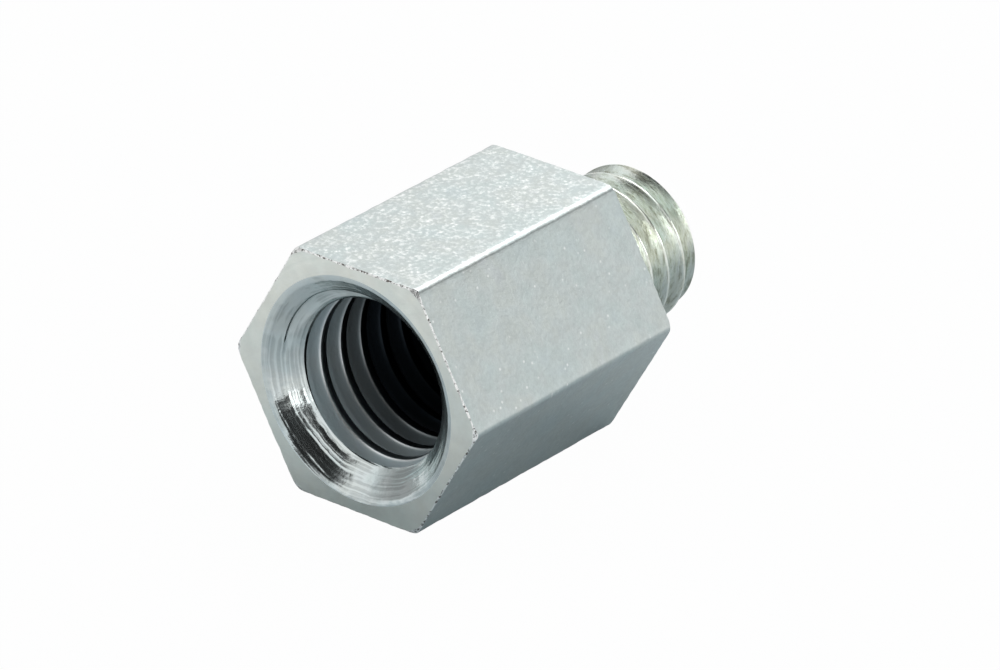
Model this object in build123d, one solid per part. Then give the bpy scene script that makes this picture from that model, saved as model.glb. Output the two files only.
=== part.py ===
"""Threaded reducer: a hexagon body with a tapped blind hole in one end and a threaded stud on the other.

It is turned in one piece from drawn hexagon bar, then zinc plated. It lies on one flat of the hexagon.
+X runs along the thread axis, from the tapped end to the stud, and +Z is up. The origin is on the axis,
in the plane of the shoulder. Both threads are plain here: the hole has its minor diameter, the diameter
of the tapping drill, and the stud has its major diameter.
"""

import os
from math import cos, radians, tan

from build123d import *

# Driving dimensions, in millimetres and degrees.

# Hexagon body, gripped by a 13 mm spanner
across_flats = 13.0
body_length = 15.0
bar_edge_radius = 0.4  # long edges, as the bar is drawn
corner_chamfer_depth = 0.3  # radial, taken off the sharp corners at both ends
corner_chamfer_angle = 30.0  # between the chamfer and the end face

# Tapped hole for an M10 x 1.5 thread
bore_diameter = 8.5
bore_depth = 11.5  # from the end face to where the drill point starts
drill_point_angle = 118.0
countersink_diameter = 11.5  # at the end face
countersink_angle = 100.0

# Stud with an M8 x 1.25 thread
stud_diameter = 8.0
stud_length = 7.0
stud_tip_chamfer = 0.7  # axial and radial

# Planes square to the axis
shoulder_x = 0.0
tapped_end_x = shoulder_x - body_length
stud_tip_x = shoulder_x + stud_length


def turned(half_section):
    """Solid of revolution about the X axis, from the corners (x, radius) of its half section."""
    return revolve(Plane.XZ * make_face(Polyline(*half_section, close=True)), axis=Axis.X)


def hexagon_bar():
    """Length of hexagon bar with rounded long edges, lying on a flat."""
    section = RegularPolygon(across_flats / 2, 6, major_radius=False)
    section = fillet(section.vertices(), bar_edge_radius)
    return extrude(Plane((tapped_end_x, 0, 0), x_dir=(0, 1, 0), z_dir=(1, 0, 0)) * section, amount=body_length)


def corner_chamfers():
    """What the turned chamfers at both ends leave of the bar: a drum as wide as its sharp corners."""
    corner_radius = across_flats / 2 / cos(radians(30))
    face_radius = corner_radius - corner_chamfer_depth
    chamfer_length = corner_chamfer_depth * tan(radians(corner_chamfer_angle))
    return turned(
        [
            (tapped_end_x, 0),
            (tapped_end_x, face_radius),
            (tapped_end_x + chamfer_length, corner_radius),
            (shoulder_x - chamfer_length, corner_radius),
            (shoulder_x, face_radius),
            (shoulder_x, 0),
        ]
    )


def tapped_hole():
    """Countersunk blind hole, with the cone that the drill leaves at its bottom."""
    bore_radius = bore_diameter / 2
    rim_radius = countersink_diameter / 2
    countersink_depth = (rim_radius - bore_radius) / tan(radians(countersink_angle / 2))
    drill_point_x = tapped_end_x + bore_depth
    return turned(
        [
            (tapped_end_x, 0),
            (tapped_end_x, rim_radius),
            (tapped_end_x + countersink_depth, bore_radius),
            (drill_point_x, bore_radius),
            (drill_point_x + bore_radius / tan(radians(drill_point_angle / 2)), 0),
        ]
    )


def stud():
    """Shank of the stud from the shoulder to its chamfered tip."""
    stud_radius = stud_diameter / 2
    return turned(
        [
            (shoulder_x, 0),
            (shoulder_x, stud_radius),
            (stud_tip_x - stud_tip_chamfer, stud_radius),
            (stud_tip_x, stud_radius - stud_tip_chamfer),
            (stud_tip_x, 0),
        ]
    )


def reducer_body():
    """The whole reducer, one piece of steel."""
    return (hexagon_bar() & corner_chamfers()) + stud() - tapped_hole()


os.makedirs("parts", exist_ok=True)
export_step(reducer_body(), "parts/reducer_body.step")
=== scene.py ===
"""Threaded reducer of zinc-plated steel, lying on one flat of its hexagon on a pale floor.

It is one turned piece, so one mesh with true threads stands for its solid. Six finishes dress it: drawn
flats, turned faces, the broken edges round them, the countersink, the tapped bore and the threaded stud.
"""

import math

import bmesh
import bpy
from mathutils import Matrix, Vector, noise


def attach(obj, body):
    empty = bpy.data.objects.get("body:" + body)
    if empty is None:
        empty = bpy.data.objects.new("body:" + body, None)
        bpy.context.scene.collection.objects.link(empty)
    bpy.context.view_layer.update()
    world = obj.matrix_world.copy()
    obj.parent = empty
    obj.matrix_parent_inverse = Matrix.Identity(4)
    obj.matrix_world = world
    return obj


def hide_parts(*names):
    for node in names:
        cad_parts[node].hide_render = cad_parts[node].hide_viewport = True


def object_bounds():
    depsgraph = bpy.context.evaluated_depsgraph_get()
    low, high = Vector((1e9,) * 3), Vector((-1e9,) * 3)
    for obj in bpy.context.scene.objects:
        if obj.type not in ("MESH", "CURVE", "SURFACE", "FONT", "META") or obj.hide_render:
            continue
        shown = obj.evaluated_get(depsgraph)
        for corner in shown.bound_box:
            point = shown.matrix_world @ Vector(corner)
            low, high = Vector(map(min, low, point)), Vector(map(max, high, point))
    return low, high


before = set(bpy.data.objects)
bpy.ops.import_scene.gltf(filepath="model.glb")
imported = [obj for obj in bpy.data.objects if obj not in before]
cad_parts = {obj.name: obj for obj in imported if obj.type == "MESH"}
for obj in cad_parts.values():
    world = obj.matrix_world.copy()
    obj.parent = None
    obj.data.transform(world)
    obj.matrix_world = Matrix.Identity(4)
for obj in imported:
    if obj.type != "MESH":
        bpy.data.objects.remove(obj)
cad_low, cad_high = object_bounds()

# Hexagon body
# A length of drawn hexagon bar, faced and chamfered at both ends in the lathe. The bar's long edges are
# rounded, and the facing tool leaves a small ragged edge round each end. The mesh is made in millimetres.

MM = 0.001
tapped_end_x = cad_low.x / MM
stud_tip_x = cad_high.x / MM
shoulder_x = 0.0
half_flats = cad_high.z / MM
half_side = math.radians(30)
bar_edge_radius = 0.4
corner_chamfer_depth = 0.3
corner_chamfer_slope = math.tan(math.radians(30))
end_edge_break = 0.07
end_edge_raggedness = 0.05
nicks_per_mm = 3.1
dent_depth = 0.035
dents_per_mm = 1.9
dent_reach = 2.5
undented_level = 0.2
noise_step_per_edge = 7.3

bar_edge_centre = (half_flats - bar_edge_radius) / math.cos(half_side)
face_radius = half_flats / math.cos(half_side) - corner_chamfer_depth
rounding_angle = half_side - math.atan((half_flats - bar_edge_radius) * math.tan(half_side) / half_flats)
flat_steps = 40
rounding_steps = 4
body_rows = 60

DRAWN, TURNED, BROKEN, COUNTERSUNK, TAPPED, THREADED = range(6)
reducer = bmesh.new()


def angles_round_the_bar():
    """Angles about +X from +Y for the mesh's columns, closer together on the rounded edges of the bar."""
    angles = []
    for side in range(6):
        start = side * 2 * half_side
        flat = 2 * (half_side - rounding_angle)
        for first, width, steps in (
            (0, rounding_angle, rounding_steps),
            (rounding_angle, flat, flat_steps),
            (rounding_angle + flat, rounding_angle, rounding_steps),
        ):
            angles += [start + first + width * step / steps for step in range(steps)]
    return angles


column_angles = angles_round_the_bar()


def turn_zone(outline, finish, rows_per_turn=0):
    """Skins one zone of the piece over the (x, radius) points that outline(angle) gives for each column.

    The rows of a threaded zone climb one pitch in a turn, so they close on the row rows_per_turn further on.
    """
    columns = []
    for angle in column_angles:
        across, up = math.cos(angle), math.sin(angle)
        columns.append([reducer.verts.new((x, radius * across, radius * up)) for x, radius in outline(angle)])
    last = len(columns[0]) - 1
    columns.append([columns[0][min(row + rows_per_turn, last)] for row in range(last + 1)])
    for here, there in zip(columns, columns[1:]):
        for row in range(last):
            corners = list(dict.fromkeys((here[row], there[row], there[row + 1], here[row + 1])))
            if len(corners) > 2:
                face = reducer.faces.new(corners)
                face.material_index = finish
                face.smooth = True


def bar_radius(angle):
    """Distance from the axis to the drawn surface of the bar."""
    from_corner = half_side - abs(angle % (2 * half_side) - half_side)
    if from_corner >= rounding_angle:
        return half_flats / math.cos(half_side - from_corner)
    return bar_edge_centre * math.cos(from_corner) + math.sqrt(
        bar_edge_radius**2 - (bar_edge_centre * math.sin(from_corner)) ** 2
    )


def end_edge(angle, end_x):
    """Radius where the end face stops and the distance along the bar where the drawn surface starts."""
    radius = bar_radius(angle)
    around = Vector((radius * math.cos(angle), radius * math.sin(angle), end_x))
    broken = end_edge_break + end_edge_raggedness * noise.noise(around * nicks_per_mm)
    return min(radius - broken, face_radius), max(broken, (radius - face_radius) * corner_chamfer_slope)


def dent(x, angle):
    """How far the bar's rounded edges stand out, from handling: zero, or less in a dent."""
    from_corner = half_side - abs(angle % (2 * half_side) - half_side)
    on_edge = max(0.0, 1 - from_corner / (dent_reach * rounding_angle))
    bar_edge = round(angle / (2 * half_side))
    level = noise.noise(Vector((dents_per_mm * x, noise_step_per_edge * bar_edge, 0)))
    return dent_depth * on_edge * min(0, level - undented_level)


def body_outline(angle):
    """Drawn surface of the bar, between its two broken end edges."""
    start = end_edge(angle, tapped_end_x)[1]
    stop = end_edge(angle, shoulder_x)[1]
    radius = bar_radius(angle)
    points = []
    for row in range(body_rows + 1):
        x = tapped_end_x + start + (shoulder_x - stop - tapped_end_x - start) * row / body_rows
        inside = min(row, body_rows - row) > 0
        points.append((x, radius + (dent(x, angle) if inside else 0)))
    return points


turn_zone(body_outline, DRAWN)

# Thread form
# Both threads are right-hand ISO metric threads: a groove with flat bottom and 30 degree flanks winds round
# the piece once a pitch. Its edges are a little rounded by the plating.

flank_slope = math.tan(math.radians(30))


def soft_ramp(distance, rounding):
    """Zero, then a slope of one, with a rounded start."""
    if abs(distance) >= rounding:
        return max(distance, 0.0)
    return (distance + rounding) ** 2 / (4 * rounding)


class Thread:
    """A groove that winds round the X axis. Its middle passes groove_angle at groove_x."""

    def __init__(self, pitch, depth, root_width, rounding, groove_x, groove_angle):
        self.pitch = pitch
        self.rounding = rounding
        self.groove_x = groove_x - pitch * groove_angle / math.tau
        self.root_edge = root_width / 2
        self.crest_edge = root_width / 2 + depth * flank_slope
        flank = self.crest_edge - self.root_edge
        half = [self.root_edge - rounding, self.root_edge + rounding]
        half += [self.root_edge + flank / 3, self.root_edge + 2 * flank / 3]
        half += [self.crest_edge - rounding, self.crest_edge, self.crest_edge + rounding]
        self.rows = [-pitch / 2, *(-row for row in reversed(half)), 0.0, *half]

    def depth(self, x, angle):
        """Depth of the groove below the crest."""
        off = x - self.groove_x - self.pitch * angle / math.tau
        off = abs(off - self.pitch * round(off / self.pitch))
        to_crest = soft_ramp(self.crest_edge - off, self.rounding)
        to_root = soft_ramp(self.root_edge - off, self.rounding)
        return (to_crest - to_root) / flank_slope

    def rows_between(self, start_x, stop_x, angle):
        """Places along the axis that follow the groove's corners, held between two planes."""
        first = math.floor((start_x - self.groove_x) / self.pitch) - 2
        last = math.ceil((stop_x - self.groove_x) / self.pitch) + 1
        places = []
        for turn in range(first, last + 1):
            groove = self.groove_x + self.pitch * (turn + angle / math.tau)
            places += [min(max(groove + row, start_x), stop_x) for row in self.rows]
        return places


def points_at_crossings(places, surface, cut):
    """Points on whichever of two turned surfaces cuts deeper, with one more between each two.

    Where the two surfaces cross, that point lies on the crossing. The first counts where cut(x) is above 0.
    """
    points = []
    for x, next_x in zip(places, places[1:]):
        points.append((x, surface(x, cut(x) > 0)))
        here, there = cut(x), cut(next_x)
        share = here / (here - there) if here * there < 0 else 0.5
        middle = x + (next_x - x) * share
        points.append((middle, surface(middle, cut(middle) > 0)))
    points.append((places[-1], surface(places[-1], cut(places[-1]) > 0)))
    return points


# Tapped hole
# Drilled blind to take an M10 screw, countersunk, and tapped to 10 mm. The tap's lead leaves the last pitch
# shallow, and below it the drilled wall runs plain to the drill's point.

bore_radius = 4.25
drilled_depth = 11.5
drill_point_slope = math.tan(math.radians(59))
hole_pitch = 1.5
hole_thread_depth = 0.75
hole_crest_rounding = 0.08
hole_thread_start = math.radians(235)
tapped_depth = 10.0
countersink_radius = 5.75
countersink_slope = math.tan(math.radians(50))
countersink_bow = 0.07
lip_rounding = 0.14
lip_rows = 5
mouth_depth = 1.9
rim_row_width = 0.04

drill_end_x = tapped_end_x + drilled_depth
drill_tip_x = drill_end_x + bore_radius / drill_point_slope
hole_thread_end_x = tapped_end_x + tapped_depth
mouth_start_x = tapped_end_x + lip_rounding
mouth_end_x = tapped_end_x + mouth_depth
hole_root_width = hole_pitch / 8
hole_thread = Thread(
    hole_pitch, hole_thread_depth, hole_root_width, hole_crest_rounding, tapped_end_x, hole_thread_start
)


def tapped_radius(x, angle):
    """Wall of the tapped bore, with the tap's tapered lead at its inner end."""
    lead = max(hole_thread_end_x - x, 0) / hole_pitch * hole_thread_depth
    return bore_radius + min(hole_thread.depth(x, angle), lead)


def countersink_cone(x):
    """Radius of the countersink, which has a rounded lip and bows a little inward below it."""
    share = (x - tapped_end_x) * countersink_slope / (countersink_radius - bore_radius)
    bow = 4 * countersink_bow * share * (1 - share)
    lip = lip_rounding * max(0, (mouth_start_x - x) / lip_rounding) ** 2
    return countersink_radius - (x - tapped_end_x) * countersink_slope - bow + lip


def drilled_outline(angle):
    """Drill point and the plain wall below the thread."""
    return [(drill_tip_x, 0), (drill_end_x, bore_radius), (hole_thread_end_x, bore_radius)]


def tapped_outline(angle):
    """Full turns of thread below the countersink."""
    places = hole_thread.rows_between(mouth_end_x, hole_thread_end_x, angle)
    return [(x, tapped_radius(x, angle)) for x in places]


def mouth_outline(angle):
    """Countersink and the first turns of thread, with a row of points where the one cuts into the other."""
    places = hole_thread.rows_between(mouth_start_x, mouth_end_x, angle)
    return points_at_crossings(
        places,
        lambda x, cone: countersink_cone(x) if cone else tapped_radius(x, angle),
        lambda x: countersink_cone(x) - tapped_radius(x, angle),
    )


def lip_outline(angle):
    """Rounded lip between the countersink and the faced end."""
    places = [mouth_start_x - lip_rounding * row / lip_rows for row in range(lip_rows + 1)]
    return [(x, countersink_cone(x)) for x in places]


def face_outline(angle):
    """Faced end round the countersink."""
    face_start = countersink_cone(tapped_end_x)
    face_stop = end_edge(angle, tapped_end_x)[0]
    rows = (face_start, face_start + rim_row_width, (face_start + face_stop) / 2, face_stop)
    return [(tapped_end_x, radius) for radius in rows]


def face_edge_outline(angle):
    """Ragged edge between the faced end and the sides of the bar."""
    face_stop, side_start = end_edge(angle, tapped_end_x)
    return [(tapped_end_x, face_stop), (tapped_end_x + side_start, bar_radius(angle))]


turn_zone(drilled_outline, TAPPED)
turn_zone(tapped_outline, TAPPED, len(hole_thread.rows))
turn_zone(mouth_outline, COUNTERSUNK, 2 * len(hole_thread.rows))
turn_zone(lip_outline, COUNTERSUNK)
turn_zone(face_outline, TURNED)
turn_zone(face_edge_outline, BROKEN)

# Threaded stud
# Turned down from the bar at the other end and threaded M8 with a die, which leaves the groove shallow for
# the last half millimetre to the shoulder. Its tip is chamfered.

stud_radius = 4.0
stud_pitch = 1.25
depth_per_pitch = 0.6134
stud_crest_rounding = 0.035
stud_thread_start = math.radians(238)
stud_tip_chamfer = 0.7
run_out = 0.5
tip_zone_length = 1.0
tip_face_row = 2.0

tip_zone_x = stud_tip_x - tip_zone_length
stud_thread_depth = depth_per_pitch * stud_pitch
stud_root_width = stud_pitch / 6
stud_thread = Thread(
    stud_pitch, stud_thread_depth, stud_root_width, stud_crest_rounding, shoulder_x, stud_thread_start
)


def threaded_radius(x, angle):
    """Stud with its groove, which runs out at the shoulder."""
    limit = (x - shoulder_x) / run_out * stud_thread_depth
    return stud_radius - min(stud_thread.depth(x, angle), limit)


def tip_cone(x):
    """Radius of the chamfer at the stud's tip."""
    return stud_radius - stud_tip_chamfer + stud_tip_x - x


def stud_outline(angle):
    """Thread from the shoulder to where the tip begins."""
    places = stud_thread.rows_between(shoulder_x, tip_zone_x, angle)
    return [(x, threaded_radius(x, angle)) for x in places]


def tip_outline(angle):
    """Chamfered tip, with a row of points where the chamfer cuts the thread."""
    places = stud_thread.rows_between(tip_zone_x, stud_tip_x, angle)
    return points_at_crossings(
        places,
        lambda x, cone: tip_cone(x) if cone else threaded_radius(x, angle),
        lambda x: threaded_radius(x, angle) - tip_cone(x),
    )


def tip_face_outline(angle):
    """Flat end of the stud."""
    return [(stud_tip_x, tip_outline(angle)[-1][1]), (stud_tip_x, tip_face_row), (stud_tip_x, 0)]


def shoulder_outline(angle):
    """Faced shoulder round the foot of the stud."""
    face_stop = end_edge(angle, shoulder_x)[0]
    foot = threaded_radius(shoulder_x, angle)
    return [(shoulder_x, face_stop), (shoulder_x, (face_stop + foot) / 2), (shoulder_x, foot)]


def shoulder_edge_outline(angle):
    """Ragged edge between the sides of the bar and the shoulder."""
    face_stop, side_stop = end_edge(angle, shoulder_x)
    return [(shoulder_x - side_stop, bar_radius(angle)), (shoulder_x, face_stop)]


turn_zone(shoulder_edge_outline, BROKEN)
turn_zone(shoulder_outline, TURNED)
turn_zone(stud_outline, THREADED, len(stud_thread.rows))
turn_zone(tip_outline, THREADED, 2 * len(stud_thread.rows))
turn_zone(tip_face_outline, TURNED)

weld_distance = 0.0001
sharpest_smooth_edge = math.radians(24)
bmesh.ops.remove_doubles(reducer, verts=reducer.verts, dist=weld_distance)
bmesh.ops.recalc_face_normals(reducer, faces=reducer.faces)
reducer_mesh = bpy.data.meshes.new("threaded_reducer")
reducer.to_mesh(reducer_mesh)
reducer.free()
reducer_mesh.transform(Matrix.Scale(MM, 4))
reducer_mesh.set_sharp_from_angle(angle=sharpest_smooth_edge)
reducer_piece = bpy.data.objects.new("threaded_reducer", reducer_mesh)
bpy.context.scene.collection.objects.link(reducer_piece)
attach(reducer_piece, "root")
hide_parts("reducer_body")

# Zinc plating
# Bright zinc with a thin clear passivate: silver with faint blue, green and straw tints that drift over the
# surface. Every finish of the piece but its torn edges takes its tint from this group.


def new_group(name, inputs, outputs):
    """Node group; gives it with its inputs and its outputs as they are met inside it."""
    group = bpy.data.node_groups.new(name, "ShaderNodeTree")
    for label, kind, value in inputs:
        socket = group.interface.new_socket(label, in_out="INPUT", socket_type=kind)
        socket.default_value = value
    for label, kind in outputs:
        group.interface.new_socket(label, in_out="OUTPUT", socket_type=kind)
    return group, group.nodes.new("NodeGroupInput").outputs, group.nodes.new("NodeGroupOutput").inputs


def feed(tree, socket, value):
    """Links another socket to this one, or sets this one to a number or a colour."""
    if isinstance(value, bpy.types.NodeSocket):
        tree.links.new(value, socket)
    else:
        socket.default_value = (*value, 1.0) if isinstance(value, tuple) else value


def math_node(tree, operation, *values):
    """Math node over sockets or numbers; gives its output."""
    node = tree.nodes.new("ShaderNodeMath")
    node.operation = operation
    for socket, value in zip(node.inputs, values):
        feed(tree, socket, value)
    return node.outputs[0]


def ramp_node(tree, factor, stops):
    """Colour ramp from (position, colour or grey level) stops; gives its colour."""
    node = tree.nodes.new("ShaderNodeValToRGB")
    elements = node.color_ramp.elements
    while len(elements) < len(stops):
        elements.new(1.0)
    for element, (position, colour) in zip(elements, stops):
        element.position = position
        element.color = (*colour, 1.0) if isinstance(colour, tuple) else (colour, colour, colour, 1.0)
    tree.links.new(factor, node.inputs["Fac"])
    return node.outputs["Color"]


def mix_colour(tree, blend, factor, first, second):
    """Mix node for colours; gives its result."""
    node = tree.nodes.new("ShaderNodeMix")
    node.data_type = "RGBA"
    node.blend_type = blend
    for label, value in (("Factor", factor), ("A", first), ("B", second)):
        feed(tree, node.inputs[label], value)
    return node.outputs["Result"]


def vector_node(tree, operation, vector, other=None):
    """Vector math node over a socket and a fixed vector; gives its outputs."""
    node = tree.nodes.new("ShaderNodeVectorMath")
    node.operation = operation
    tree.links.new(vector, node.inputs[0])
    if other is not None:
        node.inputs[1].default_value = other
    return node.outputs


def place_in_mm(tree):
    """Object coordinates, turned from metres into millimetres."""
    coordinates = tree.nodes.new("ShaderNodeTexCoord")
    return vector_node(tree, "MULTIPLY", coordinates.outputs["Object"], (1 / MM,) * 3)["Vector"]


def noise_node(tree, place, per_mm, detail=2.0, roughness=0.5):
    """Noise over a place in millimetres; gives its value."""
    node = tree.nodes.new("ShaderNodeTexNoise")
    node.inputs["Detail"].default_value = detail
    node.inputs["Roughness"].default_value = roughness
    tree.links.new(place, node.inputs["Vector"])
    feed(tree, node.inputs["Scale"], per_mm)
    return node.outputs["Fac"]


tint_group, tint_in, tint_out = new_group(
    "passivate_tint",
    [("Colour", "NodeSocketColor", (0.6, 0.62, 0.62, 1.0)), ("Strength", "NodeSocketFloat", 0.5)],
    [("Colour", "NodeSocketColor")],
)
tint_drift = noise_node(tint_group, place_in_mm(tint_group), 0.45, detail=3.0, roughness=0.6)
tint_stops = [
    (0.30, (0.86, 0.96, 1.0)),
    (0.42, (0.92, 1.0, 0.97)),
    (0.50, (0.97, 0.98, 0.97)),
    (0.60, (1.0, 0.98, 0.90)),
    (0.72, (0.98, 0.94, 0.98)),
]
tints = ramp_node(tint_group, tint_drift, tint_stops)
tinted = mix_colour(tint_group, "MULTIPLY", tint_in["Strength"], tint_in["Colour"], tints)
tint_group.links.new(tinted, tint_out["Colour"])

# Drawn finish
# The bar's flats were never machined. Under the plating they are frosted: soft grains a quarter of a
# millimetre wide. On the flat that faces up the grains carry painted glints of white, and a few specks on
# every flat carry painted glints too.

# White that the painted glints on the grains and specks are mixed toward.
glint_white = (0.97, 0.98, 0.97)


def coordinate_of(tree, vector, axis):
    """One coordinate of a vector."""
    node = tree.nodes.new("ShaderNodeSeparateXYZ")
    tree.links.new(vector, node.inputs[0])
    return node.outputs[axis]


def rise_node(tree, value, start, stop):
    """Value that rises from 0 to 1 while another goes from start to stop."""
    node = tree.nodes.new("ShaderNodeMapRange")
    node.inputs["From Min"].default_value = start
    node.inputs["From Max"].default_value = stop
    tree.links.new(value, node.inputs["Value"])
    return node.outputs["Result"]


# Gives the grain height and a mottle, and the masks for the painted glints: the specks and the flat that
# faces up.
frost_group, frost_in, frost_out = new_group(
    "frost",
    [("Grains per mm", "NodeSocketFloat", 5.0), ("Specks", "NodeSocketFloat", 0.1)],
    [
        ("Height", "NodeSocketFloat"),
        ("Speck", "NodeSocketFloat"),
        ("Mottle", "NodeSocketFloat"),
        ("Uppermost", "NodeSocketFloat"),
    ],
)
frost_place = place_in_mm(frost_group)
frost_grain = noise_node(frost_group, frost_place, frost_in["Grains per mm"], detail=3.0, roughness=0.65)
frost_mottle = noise_node(frost_group, frost_place, 1.1, detail=4.0)
speck_cells = frost_group.nodes.new("ShaderNodeTexVoronoi")
frost_group.links.new(frost_place, speck_cells.inputs["Vector"])
frost_group.links.new(frost_in["Grains per mm"], speck_cells.inputs["Scale"])
speck_parts = frost_group.nodes.new("ShaderNodeSeparateColor")
frost_group.links.new(speck_cells.outputs["Color"], speck_parts.inputs["Color"])
is_speck = math_node(frost_group, "LESS_THAN", speck_parts.outputs["Red"], frost_in["Specks"])
speck_edge = math_node(frost_group, "MULTIPLY", speck_cells.outputs["Distance"], 2.6)
speck_core = math_node(frost_group, "MAXIMUM", math_node(frost_group, "SUBTRACT", 1.0, speck_edge), 0.0)
speck = math_node(frost_group, "MULTIPLY", is_speck, speck_core)
frost_surface = frost_group.nodes.new("ShaderNodeNewGeometry")
facing_up = coordinate_of(frost_group, frost_surface.outputs["Normal"], "Z")
frost_group.links.new(frost_grain, frost_out["Height"])
frost_group.links.new(speck, frost_out["Speck"])
frost_group.links.new(frost_mottle, frost_out["Mottle"])
frost_group.links.new(rise_node(frost_group, facing_up, 0.6, 0.95), frost_out["Uppermost"])


def new_finish(name, roughness):
    """Material of bare plated metal; gives it with its tree and its shader."""
    material = bpy.data.materials.new(name)
    material.use_nodes = True
    tree = material.node_tree
    shader = tree.nodes["Principled BSDF"]
    shader.inputs["Metallic"].default_value = 1.0
    shader.inputs["Roughness"].default_value = roughness
    return material, tree, shader


def group_node(tree, group, **values):
    """Node of a group, with its inputs set by their names."""
    node = tree.nodes.new("ShaderNodeGroup")
    node.node_tree = group
    for label, value in values.items():
        node.inputs[label.replace("_", " ")].default_value = value
    return node


def bump_surface(tree, shader, *reliefs):
    """Gives the shader the bumps of (height, depth in millimetres) pairs, each laid over the one before."""
    normal = None
    for height, depth in reliefs:
        node = tree.nodes.new("ShaderNodeBump")
        node.inputs["Strength"].default_value = 1.0
        node.inputs["Distance"].default_value = depth * MM
        tree.links.new(height, node.inputs["Height"])
        if normal:
            tree.links.new(normal, node.inputs["Normal"])
        normal = node.outputs["Normal"]
    tree.links.new(normal, shader.inputs["Normal"])


drawn_finish, tree, shader = new_finish("drawn_zinc", 0.3)
tint = group_node(tree, tint_group, Colour=(0.57, 0.625, 0.62, 1.0), Strength=0.3)
frost = group_node(tree, frost_group, Grains_per_mm=4.2, Specks=0.06)
mottle = ramp_node(tree, frost.outputs["Mottle"], [(0.3, 0.93), (0.65, 1.0)])
grain_tone = ramp_node(tree, frost.outputs["Height"], [(0.35, 0.90), (0.65, 1.0)])
toned = mix_colour(tree, "MULTIPLY", 1.0, mottle, grain_tone)
toned = mix_colour(tree, "MULTIPLY", 1.0, toned, tint.outputs["Colour"])
# Painted highlight: on the flat that faces up, the higher grains are mixed toward white as painted glints.
painted_glint_grain = ramp_node(tree, frost.outputs["Height"], [(0.50, 0.0), (0.75, 1.0)])
painted_glint_patch = ramp_node(tree, frost.outputs["Mottle"], [(0.35, 0.35), (0.6, 1.0)])
painted_glint_share = mix_colour(tree, "MULTIPLY", 1.0, painted_glint_grain, painted_glint_patch)
painted_glint_share = math_node(tree, "MULTIPLY", painted_glint_share, frost.outputs["Uppermost"])
# Painted glints: the specks on every flat are mixed toward white.
painted_speck_glint_share = math_node(tree, "MULTIPLY", frost.outputs["Speck"], 0.7)
share = math_node(tree, "MAXIMUM", painted_glint_share, painted_speck_glint_share)
tree.links.new(mix_colour(tree, "MIX", share, toned, glint_white), shader.inputs["Base Color"])
bump_surface(tree, shader, (frost.outputs["Height"], 0.014))

# Turned finish
# The faced ends carry fine rings from the facing tool, centred on the axis. They are nearly even in tone, and
# a little warmer than the flats.


def distance_from_axis(tree, place):
    """Distance of a place from the axis of the piece."""
    square_to_axis = vector_node(tree, "MULTIPLY", place, (0, 1, 1))["Vector"]
    return vector_node(tree, "LENGTH", square_to_axis)["Value"]


rings_group, rings_in, rings_out = new_group(
    "tool_rings",
    [("Rings per mm", "NodeSocketFloat", 6.0), ("Drift", "NodeSocketFloat", 0.1)],
    [("Height", "NodeSocketFloat")],
)
ring_place = place_in_mm(rings_group)
ring_drift = math_node(rings_group, "MULTIPLY", noise_node(rings_group, ring_place, 0.5), rings_in["Drift"])
ring_step = math_node(rings_group, "ADD", distance_from_axis(rings_group, ring_place), ring_drift)
ring_noise = rings_group.nodes.new("ShaderNodeTexNoise")
ring_noise.noise_dimensions = "1D"
ring_noise.inputs["Detail"].default_value = 1.0
ring_noise.inputs["Scale"].default_value = 1.0
ring_turns = math_node(rings_group, "MULTIPLY", ring_step, rings_in["Rings per mm"])
rings_group.links.new(ring_turns, ring_noise.inputs["W"])
ring_presence = noise_node(rings_group, ring_place, 0.7)
ring_presence = ramp_node(rings_group, ring_presence, [(0.35, 0.3), (0.6, 1.0)])
ring_height = math_node(rings_group, "MULTIPLY", ring_noise.outputs["Fac"], ring_presence)
rings_group.links.new(ring_height, rings_out["Height"])

turned_finish, tree, shader = new_finish("turned_zinc", 0.28)
tint = group_node(tree, tint_group, Colour=(0.78, 0.81, 0.765, 1.0), Strength=0.25)
rings = group_node(tree, rings_group, Rings_per_mm=5.0, Drift=0.1)
blotches = noise_node(tree, place_in_mm(tree), 1.3, detail=4.0)
blotch_tone = ramp_node(tree, blotches, [(0.35, 0.92), (0.65, 1.0)])
blotched = mix_colour(tree, "MULTIPLY", 1.0, tint.outputs["Colour"], blotch_tone)
tree.links.new(blotched, shader.inputs["Base Color"])
grain = noise_node(tree, place_in_mm(tree), 9.0)
bump_surface(tree, shader, (rings.outputs["Height"], 0.006), (grain, 0.006))

# Broken edges
# The tool leaves a torn burr along the ends of the flats. Its colour carries a painted highlight on the
# peaks and painted shade in the pits.

broken_finish, tree, shader = new_finish("broken_edge_zinc", 0.3)
nicks = noise_node(tree, place_in_mm(tree), 5.0, detail=3.0, roughness=0.7)
# Painted highlight on the peaks of the burr and painted shade in its pits.
burr_highlight_and_shade_stops = [(0.40, (0.13, 0.11, 0.10)), (0.44, (0.6, 0.63, 0.62)), (0.50, (0.97, 0.98, 0.97))]
tree.links.new(ramp_node(tree, nicks, burr_highlight_and_shade_stops), shader.inputs["Base Color"])
bump_surface(tree, shader, (nicks, 0.06))

# Countersink finish
# The countersink was cut last, and it mirrors the room more sharply than the faces. Its cutter chattered, so
# it has a few deep rings among the fine ones. The fine rings are darkened in colour, painted shade that draws
# dark arcs round the cone.

countersunk_finish, tree, shader = new_finish("countersunk_zinc", 0.17)
tint = group_node(tree, tint_group, Colour=(0.67, 0.73, 0.735, 1.0), Strength=0.35)
deep_rings = group_node(tree, rings_group, Rings_per_mm=3.0, Drift=0.25)
fine_rings = group_node(tree, rings_group, Rings_per_mm=8.0, Drift=0.3)
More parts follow.
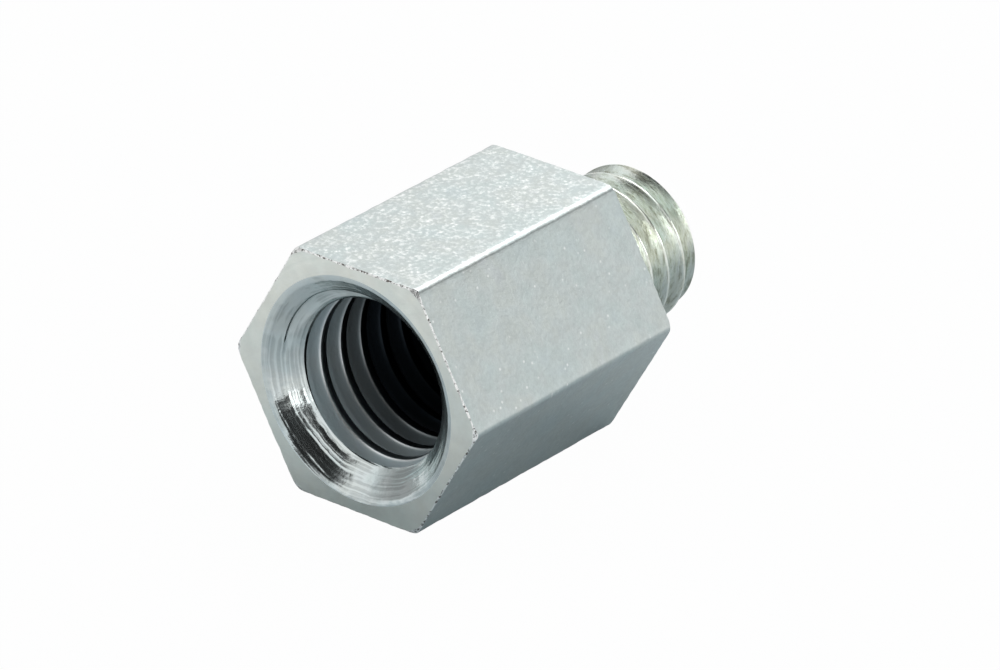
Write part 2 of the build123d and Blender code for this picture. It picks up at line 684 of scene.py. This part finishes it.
# Painted shade: the fine rings are darkened in the base colour.
painted_ring_shade = ramp_node(tree, fine_rings.outputs["Height"], [(0.34, 1.0), (0.56, 0.76)])
ring_shaded = mix_colour(tree, "MULTIPLY", 1.0, tint.outputs["Colour"], painted_ring_shade)
tree.links.new(ring_shaded, shader.inputs["Base Color"])
pits = noise_node(tree, place_in_mm(tree), 7.0)
ring_reliefs = ((deep_rings.outputs["Height"], 0.04), (fine_rings.outputs["Height"], 0.006))
bump_surface(tree, shader, *ring_reliefs, (pits, 0.005))

# Tapped finish
# The colour goes from grey in the first turns of thread to nearly black in the deep ones, painted shade down
# the blind hole. The crests carry a painted highlight line.

# Painted shade: the colour fades to near black between these two depths.
shade_start_x = tapped_end_x + 0.5
full_shade_x = tapped_end_x + 6.5
painted_deep_shade = (0.015, 0.02, 0.025)
crest_highlight_white = (0.97, 0.99, 0.99)

tapped_finish, tree, shader = new_finish("tapped_zinc", 0.6)
tint = group_node(tree, tint_group, Colour=(0.64, 0.74, 0.78, 1.0), Strength=0.3)
hole_place = place_in_mm(tree)
# Painted shade: share of the unshaded colour, falling to none deep in the hole.
unshaded_share = rise_node(tree, coordinate_of(tree, hole_place, "X"), full_shade_x, shade_start_x)
wall = mix_colour(tree, "MIX", unshaded_share, painted_deep_shade, tint.outputs["Colour"])
above_crest = math_node(tree, "SUBTRACT", distance_from_axis(tree, hole_place), bore_radius)
# Painted highlight: a thin line of near-white colour along the crest edges, fading with the painted shade
# down the hole.
crest_edge = ramp_node(tree, above_crest, [(0.0, 0.1), (0.05, 1.0), (0.13, 0.0)])
painted_crest_highlight = mix_colour(tree, "MULTIPLY", 1.0, crest_edge, unshaded_share)
crest_highlighted = mix_colour(tree, "MIX", painted_crest_highlight, wall, crest_highlight_white)
tree.links.new(crest_highlighted, shader.inputs["Base Color"])
polish = ramp_node(tree, above_crest, [(0.0, 0.3), (0.06, 0.3), (0.18, 0.6)])
tree.links.new(polish, shader.inputs["Roughness"])
bump_surface(tree, shader, (noise_node(tree, hole_place, 6.0, detail=4.0), 0.012))

# Threaded finish
# The die left the stud's thread bright and streaked along the groove. The passivate shows straw and green
# here.

streaks_per_mm = (11.0, 1.2, 1.2)

threaded_finish, tree, shader = new_finish("threaded_zinc", 0.17)
stud_place = place_in_mm(tree)
streak_place = vector_node(tree, "MULTIPLY", stud_place, streaks_per_mm)["Vector"]
streaks = noise_node(tree, streak_place, 1.0, detail=4.0, roughness=0.65)
tint = group_node(tree, tint_group, Colour=(0.77, 0.81, 0.775, 1.0), Strength=0.5)
streak_tone = ramp_node(tree, streaks, [(0.36, (0.6, 0.59, 0.53)), (0.48, (0.95, 0.95, 0.92)), (0.58, 1.0)])
streaked = mix_colour(tree, "MULTIPLY", 1.0, tint.outputs["Colour"], streak_tone)
tree.links.new(streaked, shader.inputs["Base Color"])
pits = noise_node(tree, stud_place, 7.0, detail=4.0)
bump_surface(tree, shader, (streaks, 0.02), (pits, 0.008))

finishes = (drawn_finish, turned_finish, broken_finish, countersunk_finish, tapped_finish, threaded_finish)
for finish in finishes:
    reducer_mesh.materials.append(finish)

# Floor
# A grey sheet that sweeps out of sight on all sides. It shows white to the camera, with a faint shadow under
# the piece. The metal too mirrors it white further off, and in its own colour close to the piece.

floor_size = 4.0
seen_white = 0.98
near_piece = 0.012
far_from_piece = 0.05
floor_mesh = bpy.data.meshes.new("floor")
floor_form = bmesh.new()
bmesh.ops.create_grid(floor_form, x_segments=1, y_segments=1, size=floor_size / 2)
floor_form.to_mesh(floor_mesh)
floor_form.free()
floor = bpy.data.objects.new("floor", floor_mesh)
floor.location = ((cad_low.x + cad_high.x) / 2, 0, cad_low.z)
bpy.context.scene.collection.objects.link(floor)
floor_material = bpy.data.materials.new("pale_sheet")
floor_material.use_nodes = True
tree = floor_material.node_tree
shader = tree.nodes["Principled BSDF"]
shader.inputs["Base Color"].default_value = (0.5, 0.55, 0.58, 1.0)
shader.inputs["Roughness"].default_value = 0.9
shader.inputs["Specular IOR Level"].default_value = 0.1
floor_place = tree.nodes.new("ShaderNodeTexCoord")
floor_reach = vector_node(tree, "LENGTH", floor_place.outputs["Object"])["Value"]
floor_fade = rise_node(tree, floor_reach, near_piece, far_from_piece)
floor_ray = tree.nodes.new("ShaderNodeLightPath")
mirror_rays = [floor_ray.outputs["Is Glossy Ray"], floor_ray.outputs["Is Transmission Ray"]]
mirrored = math_node(tree, "MULTIPLY", math_node(tree, "ADD", *mirror_rays), floor_fade)
shown = math_node(tree, "ADD", floor_ray.outputs["Is Camera Ray"], mirrored)
floor_glow = tree.nodes.new("ShaderNodeEmission")
floor_mix = tree.nodes.new("ShaderNodeMixShader")
tree.links.new(math_node(tree, "MULTIPLY", shown, seen_white), floor_mix.inputs["Fac"])
tree.links.new(shader.outputs["BSDF"], floor_mix.inputs[1])
tree.links.new(floor_glow.outputs["Emission"], floor_mix.inputs[2])
tree.links.new(floor_mix.outputs["Shader"], tree.nodes["Material Output"].inputs["Surface"])
floor_mesh.materials.append(floor_material)

# Studio light
# A white room with a dark opening over each end of the piece, the first cut off straight along one side, a
# dim gap beyond the stud and a dim wall on the far left. Four soft boxes give the bright edges, the light on
# the top flat and the highlights in the threads. The white glints in the top flat's frost are painted.

opening_over_hole = Vector((-0.88, -0.30, 0.37)).normalized()
opening_sill = Vector((-0.64, 0.43, -0.64)).normalized()
opening_over_stud = Vector((0.957, -0.05, 0.285)).normalized()
dim_gap = Vector((0.697, -0.447, 0.560)).normalized()
dim_wall = Vector((-0.10, 0.98, 0.10)).normalized()
world = bpy.data.worlds.new("studio")
bpy.context.scene.world = world
world.use_nodes = True
tree = world.node_tree
direction = tree.nodes.new("ShaderNodeTexCoord")


def level_toward(side, stops):
    """Light level of the room by how far a direction leans toward one side."""
    lean = vector_node(tree, "DOT_PRODUCT", direction.outputs["Generated"], side)["Value"]
    return ramp_node(tree, lean, stops)


hole_side = level_toward(opening_over_hole, [(0.70, 1.0), (0.79, 0.02)])
hole_sill = level_toward(opening_sill, [(0.0, 1.0), (0.05, 0.02)])
hole_side = mix_colour(tree, "LIGHTEN", 1.0, hole_side, hole_sill)
stud_side = level_toward(opening_over_stud, [(0.90, 1.0), (0.945, 0.12), (0.975, 0.02)])
gap_side = level_toward(dim_gap, [(0.95, 1.0), (0.975, 0.3)])
wall_side = level_toward(dim_wall, [(0.72, 1.0), (0.92, 0.4)])
openings = mix_colour(tree, "MULTIPLY", 1.0, hole_side, stud_side)
dimmed = mix_colour(tree, "MULTIPLY", 1.0, gap_side, wall_side)
room = mix_colour(tree, "MULTIPLY", 1.0, openings, dimmed)
tree.links.new(room, tree.nodes["Background"].inputs["Color"])

aim = Vector((-9.74, -4.601, 2.44)) * MM
softbox_distance = 0.45
for name, azimuth, elevation, size, watts in (
    ("softbox_back", 20, 44, 0.2, 0.28),
    ("softbox_top", -9, 45, 0.24, 0.18),
    ("softbox_right", -17, 3, 0.12, 0.3),
    ("softbox_front", 220, 6, 0.09, 0.06),
):
    lamp = bpy.data.lights.new(name, "AREA")
    lamp.shape = "SQUARE"
    lamp.size = size
    lamp.energy = watts
    turn, rise = math.radians(azimuth), math.radians(elevation)
    away = Vector((math.cos(turn) * math.cos(rise), math.sin(turn) * math.cos(rise), math.sin(rise)))
    softbox = bpy.data.objects.new(name, lamp)
    softbox.location = aim + away * softbox_distance
    softbox.rotation_euler = away.to_track_quat("Z", "Y").to_euler()
    bpy.context.scene.collection.objects.link(softbox)

# Camera
# A long lens, looking down at the tapped end from the front left.

camera_back = Vector((-0.6974, -0.5605, 0.4467))
camera_distance = 0.429
camera_roll = math.radians(0.36)
camera_data = bpy.data.cameras.new("camera")
camera_data.lens = 324
camera_data.sensor_width = 36
camera = bpy.data.objects.new("camera", camera_data)
camera.location = aim + camera_back * camera_distance
facing = camera_back.to_track_quat("Z", "Y").to_matrix()
camera.rotation_euler = (facing @ Matrix.Rotation(camera_roll, 3, "Z")).to_euler()
bpy.context.scene.collection.objects.link(camera)
bpy.context.scene.camera = camera
bpy.context.scene.view_settings.view_transform = "Standard"
